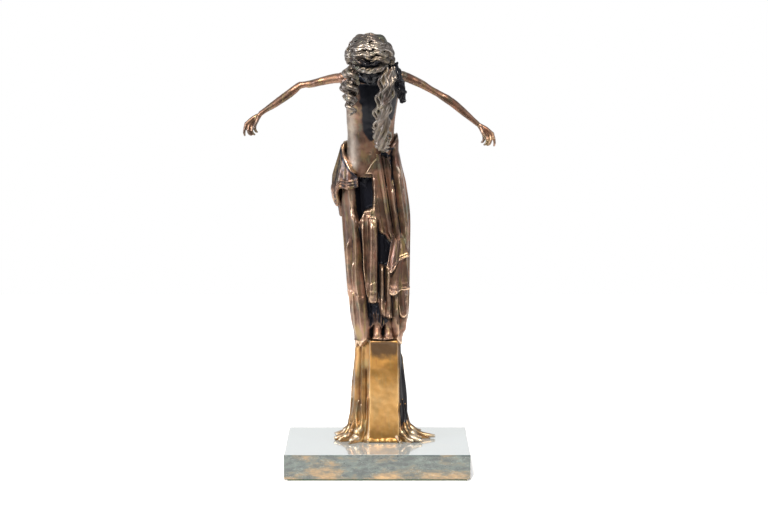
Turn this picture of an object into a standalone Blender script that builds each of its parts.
"""Bronze figure with outstretched arms, bolted to a polished stone display plinth.

The frame is in metres with +Z up. The origin is the middle of the plinth's underside, and the
figure faces -Y. A run in Blender removes the scene's objects and builds one object for each piece
that comes apart on a bench: the stone slab with its baize and bolts, and the bronze castings.
"""

import math

import bmesh
import bpy
from mathutils import Matrix, Vector

MM = 0.001

# ---------------------------------------------------------------- driving dimensions
CLEARANCE = 0.3 * MM  # between two pieces that touch

SLAB_WIDTH = 220 * MM
SLAB_DEPTH = 150 * MM
SLAB_THICKNESS = 30 * MM
SLAB_ARRIS = 1.5 * MM  # the small bevel along its edges

BAIZE_THICKNESS = 1.5 * MM
BAIZE_INSET = 4 * MM

STUD_DIAMETER = 6 * MM
STUD_HOLE_PLAY = 0.5 * MM  # on the radius, in the stone
THREAD_PLAY = 0.3 * MM  # on the radius, where a tapped hole would be
STUD_TAIL = 1.5 * MM  # stud that shows past its nut
WASHER_DIAMETER = 16 * MM
WASHER_THICKNESS = 1.5 * MM
NUT_ACROSS_FLATS = 10 * MM
NUT_HEIGHT = 5 * MM
COUNTERBORE_DIAMETER = 20 * MM
COUNTERBORE_DEPTH = 14 * MM
BRIDGE_THICKNESS = 6 * MM  # the tapped plates welded inside the castings
BRIDGE_HEIGHT = 12 * MM  # of their underside over the stone

PIER_X = 8 * MM  # the middle of the pier
PIER_FRONT_Y = -12 * MM
PIER_WIDTH_TOP = 33 * MM
PIER_WIDTH_FOOT = 36.5 * MM
PIER_DEPTH = 30 * MM
PIER_HEIGHT = 124 * MM
PIER_WALL = 4 * MM
PIER_ARRIS = 1 * MM

CLOTH_WALL = 3.5 * MM  # of the cast drapery
PLEATS = 13
PLEAT_DEPTH = 1.1 * MM
TRAIN_CAVITY_WIDTH = 26 * MM
TRAIN_CAVITY_DEPTH = 14 * MM
TRAIN_CAVITY_HEIGHT = 70 * MM
TRAIN_TOES = 9  # folds that run out over the stone
TRAIN_TOE_DEPTH = 4.5 * MM

TENON_DIAMETER = 7 * MM  # arm and neck tenons in the torso
TENON_LENGTH = 12 * MM
TENON_PLAY = 0.3 * MM
TENON_ROOT = 2 * MM  # of a tenon inside its own arm
PIN_DIAMETER = 2.4 * MM
PIN_PLAY = 0.3 * MM
SHOULDER_PIN_LENGTH = 13 * MM
WAIST_PIN_LENGTH = 12 * MM
PIN_SINK = 1.2 * MM  # of a waist pin's head under the cloth's surface
FLANGE_BOTTOM = 180 * MM  # of the torso's flange in the skirt, over the figure's base
FLANGE_HEIGHT = 12 * MM

SKULL_WIDTH = 33 * MM
SKULL_LENGTH = 46 * MM  # chin to crown
SKULL_DEPTH = 40 * MM  # face to back
HAIR_THICKNESS = 9.5 * MM
HAIR_EXTRA = Vector((2.5 * MM, 0, -4 * MM))  # more at the sides, and less on the crown

# ---------------------------------------------------------------- levels that follow
SLAB_BOTTOM = BAIZE_THICKNESS + CLEARANCE
SLAB_TOP = SLAB_BOTTOM + SLAB_THICKNESS
BRONZE_BOTTOM = SLAB_TOP + CLEARANCE
PIER_TOP = BRONZE_BOTTOM + PIER_HEIGHT
FIGURE_BASE = PIER_TOP + CLEARANCE
PIER_LEFT = PIER_X - PIER_WIDTH_FOOT / 2
PIER_RIGHT = PIER_X + PIER_WIDTH_FOOT / 2
PIER_BACK_Y = PIER_FRONT_Y + PIER_DEPTH

# Drapery sections: height over the figure's base, then the left, right, front and back reach, in mm.
SKIRT_SECTIONS = (
    (0, -28, 31, -13, 37),
    (24, -30, 36.5, -15, 35),
    (60, -32, 37, -18, 33),
    (109, -37, 37.5, -21, 30),
    (151, -40, 37.5, -23, 28),
    (185, -42, 33, -25, 28),
    (208, -42.5, 29, -28, 26),
    (233, -42, 26.5, -30, 20),
    (252, -40, 25, -31, 16),
)
# Train sections: share of the pier's height, then how far past the pier's own faces it reaches, in mm.
TRAIN_SECTIONS = (
    (0.00, 45, 46, 4, 46),
    (0.03, 40, 38, 3, 42),
    (0.10, 29, 20, 0, 36),
    (0.27, 22, 8.5, -4, 29),
    (0.55, 20, 6.5, -6, 24),
    (0.80, 17, 4, -7, 21),
    (1.00, 18, 5, -8, 20),
)
# Torso sections: height over the figure's base, middle x and y, half width and half depth, in mm.
TORSO_SECTIONS = (
    (186, -6.5, 1.5, 25, 18),
    (196, -6.5, 0, 27.5, 18.5),
    (208, -7, -2.5, 29, 18.5),
    (226, -7.5, -5.5, 28.5, 17.5),
    (246, -7.5, -10.5, 27.5, 17),
    (264, -7.5, -17, 28.5, 18),
    (284, -6.5, -26, 30, 19.5),
    (301, -5.5, -34, 31.5, 18),
    (312, -5, -39, 27.5, 14),
    (318, -5, -43, 16, 11),
    (321, -5, -45, 11, 9.5),
)
# The waist's edge: direction in degrees, anticlockwise from +X, and height over the figure's base in mm.
RIM = ((-180, 236), (-132, 206), (-109, 195), (-89, 216), (-66, 228), (0, 248), (90, 248), (180, 236))
RIM_START = 150 * MM  # rings below this are level
# The deep fold under the belly.
POCKET_CENTRE = Vector((-18 * MM, -26 * MM, 173 * MM))
POCKET_RADII = Vector((12 * MM, 17 * MM, 17 * MM))

HEAD_CENTRE = Vector((-8 * MM, -76 * MM, 335 * MM))  # over the figure's base
HEAD_BOW = math.radians(53)  # of the face below level
NECK_RADIUS = 10 * MM

# Arm stations: x, y and height over the figure's base, then the radius, in mm.
ARM_LEFT = (
    (-35, -38, 313, 7.6),
    (-42, -37, 315, 7.2),
    (-56, -34, 313, 6.4),
    (-74, -31, 308.5, 5.4),
    (-84, -30, 307, 4.6),
    (-91, -30, 305.5, 4.4),
    (-97, -30, 300.5, 5.0),
    (-105, -29.5, 294.5, 5.2),
    (-120, -28.5, 284, 4.5),
    (-130, -28, 277.5, 3.4),
    (-136.5, -28, 273, 3.2),
)
ARM_RIGHT = (
    (23, -38, 315, 7.6),
    (30, -37, 316.5, 7.2),
    (36, -36, 315, 6.6),
    (51, -33, 308, 5.9),
    (62, -31, 301.5, 4.9),
    (71, -30, 296.5, 4.3),
    (79, -30, 291.5, 4.9),
    (89, -29.5, 285, 5.2),
    (102, -28.5, 274, 4.5),
    (112, -28, 265.5, 3.5),
    (118, -28, 260.5, 3.2),
)
# Palms: middle of the wrist end and of the knuckle end, in the same terms as the arms.
PALM_LEFT = ((-137, -28, 272.5), (-153, -29.5, 259))
PALM_RIGHT = ((118.5, -28, 260), (133, -29.5, 247))
PALM_WIDTH = 12 * MM
PALM_THICKNESS = 5 * MM
FINGER_RADIUS = 1.55 * MM
# Fingers: where each springs across the palm, its reach outward and its drop, in mm.
FINGERS = (
    (-4.6, 3.5, 12.0),
    (-1.6, 2.5, 9.5),
    (1.6, 1.5, 9.0),
    (4.4, 0.5, 8.0),
)

# Locks of hair: x, y and height over the figure's base, then the radius, in mm.
LOCK_LEFT = (
    (-31, -80, 326, 6.5),
    (-31, -81, 312, 6.0),
    (-33, -80, 300, 7.0),
    (-30, -77, 289, 6.0),
    (-29, -73, 277, 4.5),
)
LOCK_RIGHT = (
    (15, -84, 325, 8.0),
    (14, -83, 308, 8.5),
    (11, -79, 290, 8.0),
    (9, -71, 272, 7.5),
    (8, -61, 254, 7.5),
    (9, -50, 239, 7.0),
    (9, -43, 231, 4.5),
)
LOCK_BACK = (
    (18, -58, 330, 8.0),
    (23, -62, 317, 7.0),
    (27, -62, 303, 7.0),
    (28, -59, 288, 4.5),
)
# The fall of hair over the nape and shoulder blades: height, middle x and y, half width, half depth, in mm.
NAPE_HAIR = (
    (262, -5, 5, 12, 3),
    (276, -5, 1, 19, 5),
    (292, -5, -6, 23, 7),
    (308, -6, -17, 25, 8),
    (322, -7, -32, 25, 10),
    (333, -8, -46, 24, 11),
)
# Rolls of cloth at the left hip and down the front: x, y and height over the figure's base, radius, in mm.
HIP_BUNCH = (
    (-41, 3, 236, 4.5),
    (-44, -2, 222, 6.5),
    (-45.5, -7, 205, 8.5),
    (-44.5, -11, 190, 9.5),
    (-42, -13, 176, 8.0),
    (-39, -13, 160, 6.0),
    (-37, -12, 146, 4.5),
)
FRONT_FOLD = (
    (2, -30, 226, 4.0),
    (4, -29, 205, 5.5),
    (9, -27, 180, 5.5),
    (15, -24, 150, 5.5),
    (21, -20, 120, 5.5),
    (26, -17, 92, 6.0),
    (30, -13, 60, 6.5),
    (31, -9, 32, 5.5),
)

FOOT_LENGTH = 27 * MM
FOOT_WIDTH = 10 * MM
FOOT_HEIGHT = 9 * MM
FOOT_SPACING = 14 * MM
FOOT_OVERHANG = 1 * MM  # of the toes short of the pier's front edge
HEM_HEIGHT = 15 * MM  # of the hem over the feet

RING_POINTS = 52
TORSO_POINTS = 32
TUBE_STEPS = 3  # bevel resolution of the arms and locks


# ---------------------------------------------------------------- helpers
def clear_scene():
    for obj in list(bpy.data.objects):
        bpy.data.objects.remove(obj, do_unlink=True)


def new_collection(name):
    collection = bpy.data.collections.new(name)
    bpy.context.scene.collection.children.link(collection)
    return collection


def new_material(name, colour, roughness, metallic):
    material = bpy.data.materials.new(name)
    material.use_nodes = True
    shader = material.node_tree.nodes["Principled BSDF"]
    shader.inputs["Base Color"].default_value = (*colour, 1)
    shader.inputs["Roughness"].default_value = roughness
    shader.inputs["Metallic"].default_value = metallic
    return material


def place(obj, collection, material=None):
    for old in list(obj.users_collection):
        old.objects.unlink(obj)
    collection.objects.link(obj)
    if material:
        obj.data.materials.clear()
        obj.data.materials.append(material)
    return obj


def as_cutter(obj):
    place(obj, CUTTERS)
    obj.hide_render = True
    obj.display_type = "WIRE"
    return obj


def object_from(mesh_builder, name):
    mesh = bpy.data.meshes.new(name)
    mesh_builder.to_mesh(mesh)
    mesh_builder.free()
    obj = bpy.data.objects.new(name, mesh)
    bpy.context.scene.collection.objects.link(obj)
    return obj


def box(name, low, high):
    """A box between two corners."""
    low, high = Vector(low), Vector(high)
    builder = bmesh.new()
    bmesh.ops.create_cube(builder, size=1)
    size = Matrix.Diagonal((*(high - low), 1))
    bmesh.ops.transform(builder, matrix=size, verts=builder.verts)
    obj = object_from(builder, name)
    obj.location = (low + high) / 2
    return obj


def cylinder(name, radius, start, end, sides=32):
    """A cylinder, or a prism with few sides, from one point to another."""
    start, end = Vector(start), Vector(end)
    builder = bmesh.new()
    length = (end - start).length
    size = {"radius1": radius, "radius2": radius, "depth": length}
    bmesh.ops.create_cone(builder, cap_ends=True, segments=sides, **size)
    obj = object_from(builder, name)
    obj.location = (start + end) / 2
    obj.rotation_mode = "QUATERNION"
    obj.rotation_quaternion = (end - start).to_track_quat("Z", "Y")
    return obj


def ellipsoid(name, centre, radii, turn=None, segments=24, rings=14):
    builder = bmesh.new()
    bmesh.ops.create_uvsphere(builder, u_segments=segments, v_segments=rings, radius=1)
    bmesh.ops.transform(builder, matrix=Matrix.Diagonal((*radii, 1)), verts=builder.verts)
    if turn:
        bmesh.ops.transform(builder, matrix=turn, verts=builder.verts)
    obj = object_from(builder, name)
    obj.location = centre
    return obj


def loft(name, rings):
    """A closed solid through rings of points that all run anticlockwise seen from above."""
    builder = bmesh.new()
    rows = [[builder.verts.new(point) for point in ring] for ring in rings]
    count = len(rows[0])
    for below, above in zip(rows, rows[1:]):
        for i in range(count):
            j = (i + 1) % count
            builder.faces.new((below[i], below[j], above[j], above[i]))
    builder.faces.new(list(reversed(rows[0])))
    builder.faces.new(rows[-1])
    return object_from(builder, name)


def smooth_stations(stations, steps):
    """The stations with others between them, on a Catmull-Rom curve."""
    points = [Vector(station) for station in stations]
    points = [points[0] * 2 - points[1], *points, points[-1] * 2 - points[-2]]
    dense = []
    for a, b, c, d in zip(points, points[1:], points[2:], points[3:]):
        for step in range(steps):
            t = step / steps
            square = (a * 2 - b * 5 + c * 4 - d) * t**2
            cube = (b * 3 - a - c * 3 + d) * t**3
            dense.append((b * 2 + (c - a) * t + square + cube) / 2)
    return [*dense, points[-2]]


def tube(name, stations, steps=2):
    """A round limb or lock through (x, y, height, radius) stations in mm, as a mesh with welded caps."""
    dense = smooth_stations([Vector(station) for station in stations], steps)
    curve = bpy.data.curves.new(name, "CURVE")
    curve.dimensions = "3D"
    curve.bevel_depth = 1.0
    curve.bevel_resolution = TUBE_STEPS
    curve.use_fill_caps = True
    spline = curve.splines.new("POLY")
    spline.points.add(len(dense) - 1)
    for point, (x, y, height, radius) in zip(spline.points, dense):
        point.co = (x * MM, y * MM, FIGURE_BASE + height * MM, 1)
        point.radius = radius * MM
    guide = bpy.data.objects.new(name + "_guide", curve)
    bpy.context.scene.collection.objects.link(guide)
    bpy.context.view_layer.update()
    graph = bpy.context.evaluated_depsgraph_get()
    mesh = bpy.data.meshes.new_from_object(guide.evaluated_get(graph))
    builder = bmesh.new()
    builder.from_mesh(mesh)
    bmesh.ops.remove_doubles(builder, verts=builder.verts, dist=0.01 * MM)
    bpy.data.objects.remove(guide)
    return object_from(builder, name)


def boolean(obj, other, operation):
    modifier = obj.modifiers.new(f"{operation.lower()} {other.name}", "BOOLEAN")
    modifier.operation = operation
    modifier.object = other
    modifier.solver = "EXACT"
    return obj


def grown(obj, distance):
    """The same form with its surface moved out along its normals, to leave a clearance round it."""
    modifier = obj.modifiers.new("clearance", "DISPLACE")
    modifier.strength = distance
    modifier.mid_level = 0
    return obj


def cut(obj, *cutters):
    for cutter in cutters:
        boolean(obj, as_cutter(cutter), "DIFFERENCE")
    return obj


def join(obj, *others):
    for other in others:
        boolean(obj, as_cutter(other), "UNION")
    return obj


def bevel(obj, width, segments=2):
    modifier = obj.modifiers.new("arris", "BEVEL")
    modifier.width = width
    modifier.segments = segments
    modifier.limit_method = "ANGLE"
    return obj


def finish(obj, material, smooth=True):
    """Puts a finished piece in the object's collection, with its material and shading."""
    place(obj, PIECES, material)
    if smooth:
        obj.data.shade_smooth()
        obj.data.set_sharp_from_angle(angle=math.radians(40))
    return obj


def at_base(station):
    """The place of a station given in mm over the figure's base."""
    return Vector(station[:3]) * MM + Vector((0, 0, FIGURE_BASE))


def between(sections, height):
    """The numbers of a table of sections at a height between two of its rows."""
    for low, high in zip(sections, sections[1:]):
        if height <= high[0]:
            break
    t = (height - low[0]) / (high[0] - low[0])
    return [a + (b - a) * t for a, b in zip(low[1:], high[1:])]


def section_point(section, angle, swell):
    """A place on an oval between left, right, front and back reaches, moved out by swell."""
    left, right, front, back = section
    reach = Vector(((right - left) / 2 * math.cos(angle), (back - front) / 2 * math.sin(angle)))
    return Vector(((left + right) / 2, (front + back) / 2)) + reach * (1 + swell / reach.length)


def directions(count):
    return [2 * math.pi * i / count for i in range(count)]


# ---------------------------------------------------------------- plinth
def stud_places():
    """Where the two studs stand: under the pier and under the train behind it."""
    under_pier = (PIER_X, PIER_FRONT_Y + PIER_DEPTH / 2)
    under_train = (PIER_X, train_cavity_middle())
    return {"front": under_pier, "back": under_train}


def make_slab():
    slab = box(
        "plinth_slab",
        (-SLAB_WIDTH / 2, -SLAB_DEPTH / 2, SLAB_BOTTOM),
        (SLAB_WIDTH / 2, SLAB_DEPTH / 2, SLAB_TOP),
    )
    bevel(slab, SLAB_ARRIS)
    for name, (x, y) in stud_places().items():
        hole = cylinder(
            f"{name}_stud_hole",
            STUD_DIAMETER / 2 + STUD_HOLE_PLAY,
            (x, y, SLAB_BOTTOM - SLAB_THICKNESS),
            (x, y, SLAB_TOP + SLAB_THICKNESS),
        )
        counterbore = cylinder(
            f"{name}_counterbore",
            COUNTERBORE_DIAMETER / 2,
            (x, y, SLAB_BOTTOM - SLAB_THICKNESS),
            (x, y, SLAB_BOTTOM + COUNTERBORE_DEPTH),
        )
        cut(slab, hole, counterbore)
    return finish(slab, STONE)


def make_baize():
    baize = box(
        "baize_sheet",
        (-SLAB_WIDTH / 2 + BAIZE_INSET, -SLAB_DEPTH / 2 + BAIZE_INSET, 0),
        (SLAB_WIDTH / 2 - BAIZE_INSET, SLAB_DEPTH / 2 - BAIZE_INSET, BAIZE_THICKNESS),
    )
    for name, (x, y) in stud_places().items():
        access = cylinder(
            f"{name}_baize_hole",
            COUNTERBORE_DIAMETER / 2,
            (x, y, -BAIZE_THICKNESS),
            (x, y, 2 * BAIZE_THICKNESS),
        )
        cut(baize, access)
    return finish(baize, BAIZE)


def make_fixings():
    washer_top = SLAB_BOTTOM + COUNTERBORE_DEPTH - CLEARANCE
    washer_bottom = washer_top - WASHER_THICKNESS
    nut_top = washer_bottom - CLEARANCE
    nut_bottom = nut_top - NUT_HEIGHT
    stud_top = BRONZE_BOTTOM + BRIDGE_HEIGHT + BRIDGE_THICKNESS
    bore_radius = STUD_DIAMETER / 2 + THREAD_PLAY
    nut_radius = NUT_ACROSS_FLATS / 2 / math.cos(math.pi / 6)
    for name, (x, y) in stud_places().items():
        stud_ends = (x, y, nut_bottom - STUD_TAIL), (x, y, stud_top)
        finish(cylinder(f"fixing_stud_{name}", STUD_DIAMETER / 2, *stud_ends, sides=24), STEEL)
        washer = cylinder(f"washer_{name}", WASHER_DIAMETER / 2, (x, y, washer_bottom), (x, y, washer_top))
        cut(washer, cylinder(f"washer_{name}_hole", bore_radius, (x, y, 0), (x, y, SLAB_TOP)))
        finish(washer, STEEL)
        nut = cylinder(f"nut_{name}", nut_radius, (x, y, nut_bottom), (x, y, nut_top), sides=6)
        cut(nut, cylinder(f"nut_{name}_thread", bore_radius, (x, y, 0), (x, y, SLAB_TOP)))
        finish(nut, STEEL, smooth=False)


# ---------------------------------------------------------------- pier and train
def pier_solid(name, grow=0.0):
    """The pier's outer form, a little wider at its foot. When grown, it also runs past both ends."""
    levels = [(PIER_WIDTH_FOOT, BRONZE_BOTTOM), (PIER_WIDTH_TOP, PIER_TOP)]
    if grow:
        levels = [(PIER_WIDTH_FOOT, SLAB_BOTTOM), *levels, (PIER_WIDTH_TOP, PIER_TOP + PIER_DEPTH)]
    rings = []
    for width, height in levels:
        half = width / 2 + grow
        front, back = PIER_FRONT_Y - grow, PIER_BACK_Y + grow
        corners = ((-half, front), (half, front), (half, back), (-half, back))
        rings.append([Vector((PIER_X + x, y, height)) for x, y in corners])
    return loft(name, rings)


def make_pier():
    pier = pier_solid("pier_block")
    bevel(pier, PIER_ARRIS)
    inner = PIER_WIDTH_TOP / 2 - PIER_WALL
    core = box(
        "pier_core",
        (PIER_X - inner, PIER_FRONT_Y + PIER_WALL, BRONZE_BOTTOM - PIER_HEIGHT),
        (PIER_X + inner, PIER_BACK_Y - PIER_WALL, PIER_TOP - PIER_WALL),
    )
    return finish(cut(pier, core), BRONZE)


def make_bridge(name, place_xy, half_width, half_depth):
    """A tapped plate across the open foot of a casting, which its stud screws into."""
    x, y = place_xy
    low = BRONZE_BOTTOM + BRIDGE_HEIGHT
    plate = box(
        f"{name}_bridge",
        (x - half_width + CLEARANCE, y - half_depth + CLEARANCE, low),
        (x + half_width - CLEARANCE, y + half_depth - CLEARANCE, low + BRIDGE_THICKNESS),
    )
    bore_radius = STUD_DIAMETER / 2 + THREAD_PLAY
    thread = cylinder(f"{name}_bridge_thread", bore_radius, (x, y, SLAB_BOTTOM), (x, y, PIER_TOP), sides=24)
    return finish(cut(plate, thread), BRONZE)


def train_cavity_middle():
    """The y of the hollow inside the train, clear of the pier by the train's own wall."""
    return PIER_BACK_Y + CLEARANCE + CLOTH_WALL + TRAIN_CAVITY_DEPTH / 2


def train_swell(angle, share):
    """The pleats of the train, which grow into toes where it spreads on the stone."""
    spread = (1 - share) ** 6
    pleat = PLEAT_DEPTH * math.cos(PLEATS * angle)
    toe = TRAIN_TOE_DEPTH * math.cos(TRAIN_TOES * angle + 0.6)
    return pleat * (1 - spread) + toe * spread


def make_train():
    rings = []
    for share, left, right, front, back in TRAIN_SECTIONS:
        section = (
            PIER_LEFT - left * MM,
            PIER_RIGHT + right * MM,
            PIER_FRONT_Y - front * MM,
            PIER_BACK_Y + back * MM,
        )
        height = BRONZE_BOTTOM + share * PIER_HEIGHT
        ring = []
        for angle in directions(RING_POINTS):
            ring.append((*section_point(section, angle, train_swell(angle, share)), height))
        rings.append(ring)
    train = loft("train_casting", rings)
    half_width, half_depth = TRAIN_CAVITY_WIDTH / 2, TRAIN_CAVITY_DEPTH / 2
    middle = train_cavity_middle()
    cavity = box(
        "train_core",
        (PIER_X - half_width, middle - half_depth, SLAB_BOTTOM),
        (PIER_X + half_width, middle + half_depth, BRONZE_BOTTOM + TRAIN_CAVITY_HEIGHT),
    )
    return finish(cut(train, pier_solid("train_notch", CLEARANCE), cavity), BRONZE)


# ---------------------------------------------------------------- skirt
def rim_height(angle):
    """The height of the waist's edge in one direction."""
    turn = math.degrees(angle)
    turn = turn - 360 if turn > 180 else turn
    for (start, low), (end, high) in zip(RIM, RIM[1:]):
        if turn <= end:
            break
    share = (turn - start) / (end - start)
    return (low + (high - low) * share * share * (3 - 2 * share)) * MM


def skirt_form(name, inset=0.0, past=0.0):
    """The skirt's outer form, or its hollow when inset by its wall. It can run past both ends."""
    levels = [level * MM for level in (0, 12, 24, 42, 60, 84, 109, 130, 150, 160, 170, 180, 190, 200)]
    rings = []
    for level in levels:
        rise = max((level - RIM_START) / (levels[-1] - RIM_START), 0)
        ring = []
        for angle in directions(RING_POINTS):
            height = min(level, RIM_START) + rise * (rim_height(angle) - RIM_START)
            section = [reach * MM for reach in between(SKIRT_SECTIONS, height / MM)]
            pleat = PLEAT_DEPTH * math.cos(PLEATS * angle + 12 * height)
            x, y = section_point(section, angle, -inset if inset else pleat)
            ring.append(Vector((x, y, FIGURE_BASE + height)))
        rings.append(ring)
    if past:
        up = Vector((0, 0, past))
        rings = [[point - up for point in rings[0]], *rings, [point + up for point in rings[-1]]]
    return loft(name, rings)


def pocket(name, grow=0.0):
    centre = POCKET_CENTRE + Vector((0, 0, FIGURE_BASE))
    return ellipsoid(name, centre, POCKET_RADII + Vector((grow, grow, grow)), segments=20, rings=12)


def foot_places():
    half = FOOT_SPACING / 2
    return {"left": PIER_X - half, "right": PIER_X + half}


def make_skirt():
    skirt = skirt_form("skirt_casting")
    core = cut(skirt_form("skirt_core", CLOTH_WALL, HEM_HEIGHT), pocket("pocket_wall", CLOTH_WALL))
    xs = foot_places()
    hem = box(
        "hem_opening",
        (xs["left"] - FOOT_WIDTH, PIER_FRONT_Y - FOOT_LENGTH, FIGURE_BASE - HEM_HEIGHT),
        (xs["right"] + FOOT_WIDTH, PIER_FRONT_Y + FOOT_LENGTH, FIGURE_BASE + HEM_HEIGHT),
    )
    cut(skirt, pocket("pocket"), as_cutter(core), hem)
    return finish(cut(skirt, *waist_pins("skirt_waist_hole", PIN_PLAY)), BRONZE)


def make_feet():
    for side, x in foot_places().items():
        toe = PIER_FRONT_Y + FOOT_OVERHANG
        foot = ellipsoid(f"foot_{side}_form", (x, toe + FOOT_LENGTH / 2, FIGURE_BASE), (1, 1, 1))
        foot.name = f"foot_{side}"
        foot.data.transform(Matrix.Diagonal((FOOT_WIDTH / 2, FOOT_LENGTH / 2, FOOT_HEIGHT, 1)))
        sole = box(
            f"foot_{side}_sole",
            (x - FOOT_WIDTH, toe - FOOT_LENGTH, FIGURE_BASE - 2 * FOOT_HEIGHT),
            (x + FOOT_WIDTH, toe + 2 * FOOT_LENGTH, FIGURE_BASE),
        )
        finish(cut(foot, sole), BRONZE)


def roll_on_skirt(name, stations):
    """A roll of cloth cast apart from the skirt, hollowed to lie on its outer face."""
    return cut(tube(name, stations), grown(skirt_form(f"{name}_seat", past=HEM_HEIGHT), CLEARANCE))


# ---------------------------------------------------------------- torso, head and arms
def torso_form(name):
    """Rings square to a spine that leans further forward the higher it goes."""
    rings = []
    for index, (height, x, y, half_width, half_depth) in enumerate(TORSO_SECTIONS):
        before = TORSO_SECTIONS[max(index - 1, 0)]
        after = TORSO_SECTIONS[min(index + 1, len(TORSO_SECTIONS) - 1)]
        lean = math.atan2(before[2] - after[2], after[0] - before[0])
        ring = []
        for angle in directions(TORSO_POINTS):
            across = half_width * math.cos(angle)
            deep = half_depth * math.sin(angle)
            ring.append(at_base((x + across, y + deep * math.cos(lean), height + deep * math.sin(lean))))
        rings.append(ring)
    return loft(name, rings)


def torso_seat(name):
    return grown(torso_form(name), CLEARANCE)


def arm_inward(stations):
    """The direction in which an arm's tenon goes into the torso."""
    start = at_base(stations[0])
    shoulder = Vector((-5 * MM, start.y + 3 * MM, start.z - 9 * MM))
    return (shoulder - start).normalized()


def arm_tenon(name, stations, play=0.0):
    start, inward = at_base(stations[0]), arm_inward(stations)
    ends = start - inward * TENON_ROOT, start + inward * (TENON_LENGTH + play)
    return cylinder(name, TENON_DIAMETER / 2 + play, *ends, sides=20)


def shoulder_pin(name, stations, play=0.0):
    """The dowel that locks an arm's tenon, driven in from behind. Its hole runs out at the back."""
    middle = at_base(stations[0]) + arm_inward(stations) * (TENON_LENGTH * 0.7)
    front = middle - Vector((0, TENON_DIAMETER / 2 + 1 * MM + play, 0))
    length = SHOULDER_PIN_LENGTH * (2 if play else 1)
    return cylinder(name, PIN_DIAMETER / 2 + play, front, front + Vector((0, length, 0)), sides=16)


def waist_pins(name, play=0.0):
    """The dowels through the skirt's wall into the torso's flange, one at each hip."""
    height = FLANGE_BOTTOM + FLANGE_HEIGHT / 2
    left, right, front, back = (reach * MM for reach in between(SKIRT_SECTIONS, height / MM))
    middle = Vector(((left + right) / 2, (front + back) / 2, FIGURE_BASE + height))
    made = []
    for side, outward in (("left", -1), ("right", 1)):
        outer = (right - left) / 2 - PIN_SINK
        inner = outer - WAIST_PIN_LENGTH - play
        outer += WAIST_PIN_LENGTH if play else 0
        ends = [middle + Vector((outward * reach, 0, 0)) for reach in (outer, inner)]
        made.append(cylinder(f"{name}_{side}", PIN_DIAMETER / 2 + play, *ends, sides=16))
    return made


def head_centre():
    return HEAD_CENTRE + Vector((0, 0, FIGURE_BASE))


def head_turn():
    """The bowed head's turn about X. Unturned, its crown is +Z and its face looks along -Y."""
    return Matrix.Rotation(HEAD_BOW, 4, "X")


def neck_points():
    """The neck's foot on the torso, and its top inside the skull."""
    height, x, y, _, _ = TORSO_SECTIONS[-1]
    return at_base((x, y, height)), head_centre() + Vector((0, 5 * MM, -4 * MM))


def neck_cylinder(name, grow=0.0):
    foot, top = neck_points()
    down = (foot - top).normalized()
    return cylinder(name, NECK_RADIUS + grow, top, foot + down * (TENON_ROOT + grow), sides=24)


def neck_tenon(name, play=0.0):
    foot, top = neck_points()
    down = (foot - top).normalized()
    ends = foot - down * 4 * TENON_ROOT, foot + down * (TENON_LENGTH + play)
    return cylinder(name, TENON_DIAMETER / 2 + play, *ends, sides=20)


def make_torso():
    torso = torso_form("torso_casting")
    flange = skirt_form("flange_form", CLOTH_WALL + CLEARANCE)
    band = box(
        "flange_band",
        (-SLAB_WIDTH, -SLAB_WIDTH, FIGURE_BASE + FLANGE_BOTTOM),
        (SLAB_WIDTH, SLAB_WIDTH, FIGURE_BASE + FLANGE_BOTTOM + FLANGE_HEIGHT),
    )
    join(torso, boolean(flange, as_cutter(band), "INTERSECT"))
    cutters = [pocket("torso_pocket_relief", CLOTH_WALL + CLEARANCE)]
    cutters.append(neck_tenon("neck_socket", TENON_PLAY))
    for side, stations in (("left", ARM_LEFT), ("right", ARM_RIGHT)):
        cutters.append(arm_tenon(f"shoulder_socket_{side}", stations, TENON_PLAY))
        cutters.append(shoulder_pin(f"shoulder_pin_hole_{side}", stations, PIN_PLAY))
    return finish(cut(torso, *cutters, *waist_pins("torso_waist_hole", PIN_PLAY)), BRONZE)


def make_pins():
    for side, stations in (("left", ARM_LEFT), ("right", ARM_RIGHT)):
        finish(shoulder_pin(f"shoulder_pin_{side}", stations), STEEL)
    for pin in waist_pins("waist_pin"):
        finish(pin, STEEL)


def skull(name, grow=0.0):
    radii = (SKULL_WIDTH / 2 + grow, SKULL_DEPTH / 2 + grow, SKULL_LENGTH / 2 + grow)
    return ellipsoid(name, head_centre(), radii, head_turn())


def make_head():
    head = join(skull("head_casting"), neck_cylinder("neck"))
    cut(head, torso_seat("neck_seat"))
    return finish(join(head, neck_tenon("neck_tenon")), BRONZE)


def hair_form(name, grow=0.0):
    """The mass of hair on the head."""
    turn = head_turn()
    thick = HAIR_THICKNESS + grow
    radii = Vector((SKULL_WIDTH, SKULL_DEPTH, SKULL_LENGTH)) / 2 + Vector((thick, thick, thick))
    centre = head_centre() + turn @ Vector((0, 3 * MM, 3 * MM))
    return ellipsoid(name, centre, radii + HAIR_EXTRA, turn)


def make_hair_cap():
    turn = head_turn()
    middle = head_centre() + turn @ Vector((0, -SKULL_DEPTH * 0.75, -SKULL_LENGTH * 0.36))
    radii = (SKULL_WIDTH * 0.47, SKULL_DEPTH * 0.62, SKULL_LENGTH * 0.58)
    cutters = [
        skull("cap_core", CLEARANCE),
        ellipsoid("face_opening", middle, radii, turn),
        neck_cylinder("nape_opening", CLEARANCE),
        torso_seat("cap_seat"),
    ]
    return finish(cut(hair_form("hair_cap"), *cutters), BRONZE)


def make_lock(name, stations):
    """A lock that hangs from the head's mass of hair."""
    cutters = [hair_form(f"{name}_root", CLEARANCE), torso_seat(f"{name}_seat")]
    return finish(cut(tube(name, stations), *cutters), BRONZE)


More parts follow.
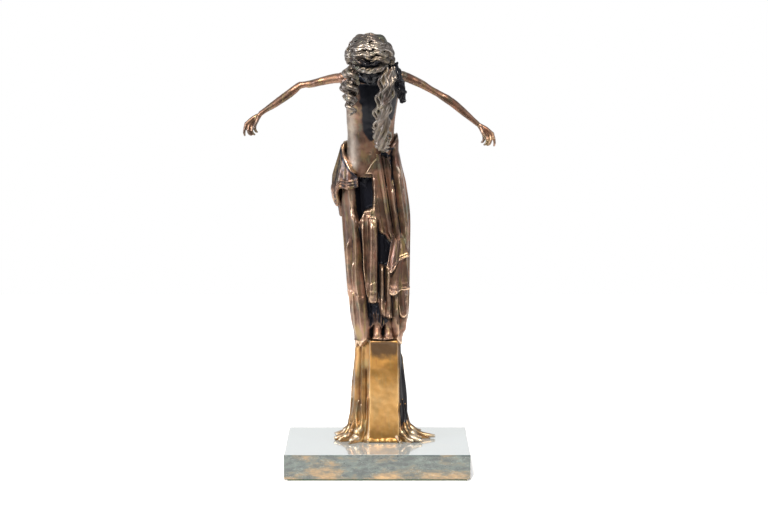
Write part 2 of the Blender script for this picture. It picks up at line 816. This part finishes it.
def make_nape_hair():
    rings = []
    for height, x, y, half_width, half_depth in NAPE_HAIR:
        ring = []
        for angle in directions(28):
            across, deep = half_width * math.cos(angle), half_depth * math.sin(angle)
            ring.append(at_base((x + across, y + deep, height + deep * 0.35)))
        rings.append(ring)
    cutters = [
        torso_seat("hair_back_seat"),
        hair_form("hair_back_root", CLEARANCE),
        neck_cylinder("hair_back_neck_relief", CLEARANCE),
        grown(tube("hair_back_lock_relief", LOCK_BACK), CLEARANCE),
        grown(tube("hair_back_arm_relief_left", ARM_LEFT), CLEARANCE),
        grown(tube("hair_back_arm_relief_right", ARM_RIGHT), CLEARANCE),
    ]
    return finish(cut(loft("hair_back", rings), *cutters), BRONZE)


def make_arm(side, stations, palm):
    arm = tube(f"arm_{side}", stations)
    outward = -1 if side == "left" else 1
    wrist, knuckles = (Vector(point) for point in palm)
    along = (knuckles - wrist).normalized()
    across = Vector((0, 1, 0))
    turn = Matrix((across, along, across.cross(along))).transposed().to_4x4()
    radii = (PALM_WIDTH / 2, (knuckles - wrist).length * 0.62 * MM, PALM_THICKNESS / 2)
    pieces = [ellipsoid(f"palm_{side}", at_base((wrist + knuckles) / 2), radii, turn, 16, 10)]
    digits = []
    for spring, reach, drop in FINGERS:
        root = knuckles + across * spring - along * 2.5
        bend = knuckles + across * spring * 1.1 + along * 3.5 + Vector((0, 0, -0.25 * drop))
        digits.append((root, bend, bend + Vector((outward * 0.2 * reach, 0, -0.85 * drop))))
    thumb = wrist + along * 4 - across * 4
    bend = thumb + along * 4.5 + Vector((0, -1.2, -2.5))
    digits.append((thumb, bend, bend * 2 - thumb))
    for index, points in enumerate(digits):
        stations_of_digit = [(*point, FINGER_RADIUS / MM) for point in points]
        pieces.append(tube(f"finger_{side}_{index}", stations_of_digit))
    join(arm, *pieces)
    cut(arm, torso_seat(f"arm_{side}_seat"))
    join(arm, arm_tenon(f"arm_{side}_tenon", stations))
    return finish(cut(arm, shoulder_pin(f"arm_{side}_pin_hole", stations, PIN_PLAY)), BRONZE)


# ---------------------------------------------------------------- the object
clear_scene()
PIECES = new_collection("bronze_figure_on_plinth")
CUTTERS = new_collection("cutters")
STONE = new_material("polished_stone", (0.17, 0.20, 0.19), 0.15, 0.0)
BAIZE = new_material("baize", (0.03, 0.06, 0.04), 0.95, 0.0)
STEEL = new_material("zinc_plated_steel", (0.62, 0.62, 0.60), 0.35, 1.0)
BRONZE = new_material("patinated_bronze", (0.30, 0.17, 0.08), 0.38, 1.0)

make_slab()
make_baize()
make_fixings()
make_pier()
make_bridge("pier", stud_places()["front"], PIER_WIDTH_TOP / 2 - PIER_WALL, PIER_DEPTH / 2 - PIER_WALL)
make_train()
make_bridge("train", stud_places()["back"], TRAIN_CAVITY_WIDTH / 2, TRAIN_CAVITY_DEPTH / 2)
make_skirt()
make_feet()
finish(roll_on_skirt("hip_bunch", HIP_BUNCH), BRONZE)
finish(roll_on_skirt("front_fold", FRONT_FOLD), BRONZE)
make_torso()
make_pins()
make_head()
make_hair_cap()
make_lock("lock_left", LOCK_LEFT)
make_lock("lock_right", LOCK_RIGHT)
make_lock("lock_back", LOCK_BACK)
make_nape_hair()
make_arm("left", ARM_LEFT, PALM_LEFT)
make_arm("right", ARM_RIGHT, PALM_RIGHT)
